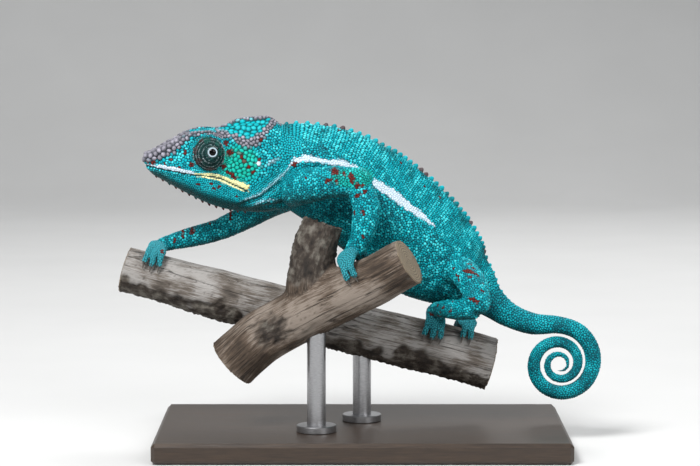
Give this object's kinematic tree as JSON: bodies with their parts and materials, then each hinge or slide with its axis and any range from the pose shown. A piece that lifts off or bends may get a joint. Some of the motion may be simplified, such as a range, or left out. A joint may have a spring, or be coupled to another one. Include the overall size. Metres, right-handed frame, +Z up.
{
  "type": "panther chameleon display model",
  "caption": "Life-size still model of an adult male panther chameleon walking along two crossed cut branches, held over a flat wooden base by two short rods.",
  "frame": {"origin": "middle of the underside of the stand's base", "axes": "+Z up, +X along the base towards the animal's tail, so its head points along -X and its left side faces -Y"},
  "size_m": [0.211, 0.104, 0.1428],
  "materials": {
    "skin": "matt to satin turquoise scales over darker teal skin, with a white side stripe, rust spots and a yellow lip",
    "casque": "rough grey-mauve tubercles round bright turquoise plates",
    "eye": "wet glossy black pupil with a narrow pale ring",
    "claw": "dark horn, satin",
    "branch": "weathered driftwood, bare and pale above, dark and rough below and on the stub",
    "plinth": "dark stained hardwood, satin lacquer",
    "rod": "dark brushed steel"
  },
  "bodies": {
    "root": {"casque": "casque", "claw_fore_left_inner_1": "claw", "claw_fore_left_inner_2": "claw", "claw_fore_left_inner_3": "claw", "claw_fore_left_outer_1": "claw", "claw_fore_left_outer_2": "claw", "claw_fore_right_inner_1": "claw", "claw_fore_right_inner_2": "claw", "claw_fore_right_inner_3": "claw", "claw_fore_right_outer_1": "claw", "claw_fore_right_outer_2": "claw", "claw_hind_left_inner_1": "claw", "claw_hind_left_inner_2": "claw", "claw_hind_left_outer_1": "claw", "claw_hind_left_outer_2": "claw", "claw_hind_left_outer_3": "claw", "claw_hind_right_inner_1": "claw", "claw_hind_right_inner_2": "claw", "claw_hind_right_outer_1": "claw", "claw_hind_right_outer_2": "claw", "claw_hind_right_outer_3": "claw", "eye_left": "eye", "eye_right": "eye", "fore_left_forearm": "skin", "fore_left_hand": "skin", "fore_left_upper_arm": "skin", "fore_right_forearm": "skin", "fore_right_hand": "skin", "fore_right_upper_arm": "skin", "head": "skin", "hind_left_foot": "skin", "hind_left_shank": "skin", "hind_left_thigh": "skin", "hind_right_foot": "skin", "hind_right_shank": "skin", "hind_right_thigh": "skin", "jaw": "skin", "neck": "skin", "perch_back": "branch", "perch_front": "branch", "stand_base": "plinth", "stand_rod_back": "rod", "stand_rod_front": "rod", "tail_1": "skin", "tail_2": "skin", "tail_3": "skin", "tail_4": "skin", "tail_5": "skin", "tail_6": "skin", "trunk_front": "skin", "trunk_rear": "skin", "turret_left": "skin", "turret_right": "skin"}
  },
  "joints": []
}
